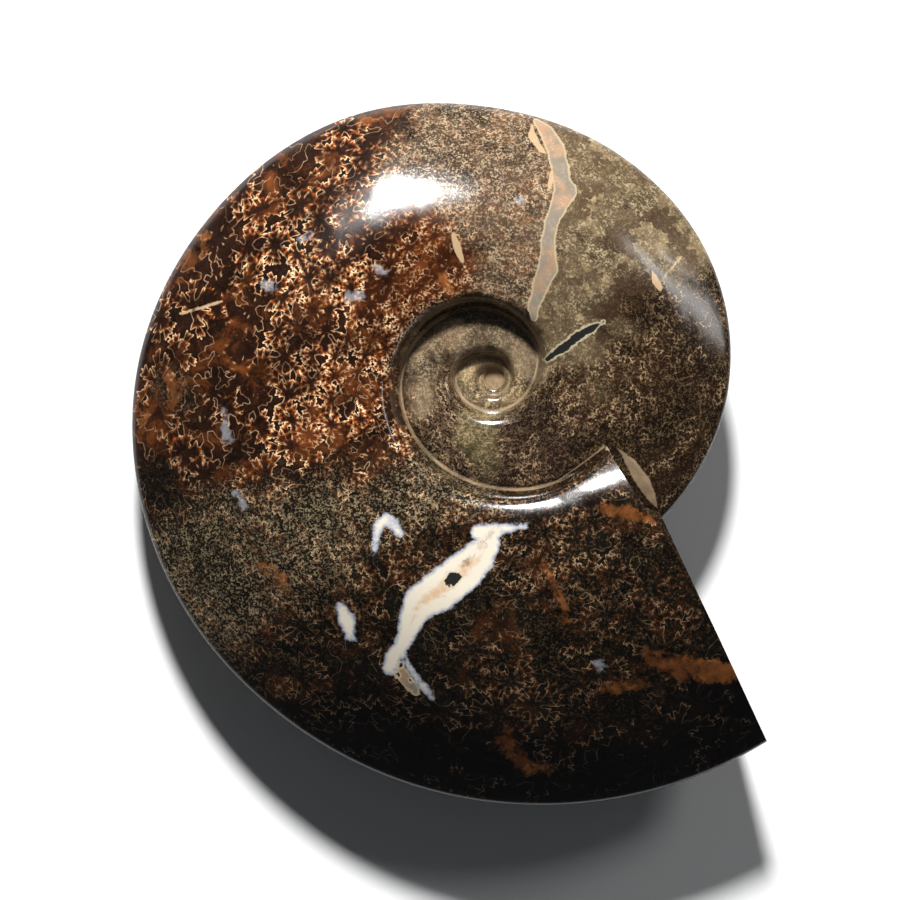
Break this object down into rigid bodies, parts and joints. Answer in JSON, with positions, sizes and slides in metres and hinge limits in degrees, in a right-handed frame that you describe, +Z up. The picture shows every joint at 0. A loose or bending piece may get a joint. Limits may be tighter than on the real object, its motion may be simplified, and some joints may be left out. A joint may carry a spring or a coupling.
{
  "type": "ammonite fossil",
  "caption": "Polished ammonite, a solid coiled stone fossil with a narrow rim, a stepped umbilicus and a sawn mouth, lying on its flank.",
  "frame": {"origin": "under the middle of the outline, on the surface that the fossil rests on", "axes": "+Z up through the thickness, +Y from the body chamber's end of the outline to the opposite rim, +X towards the side the mouth opens to"},
  "size_m": [0.1908, 0.211, 0.0652],
  "materials": {
    "polished_fossil": "high polish, dark brown and amber with pale leaf-like suture lines"
  },
  "bodies": {
    "root": {"ammonite": "polished_fossil"}
  },
  "joints": []
}
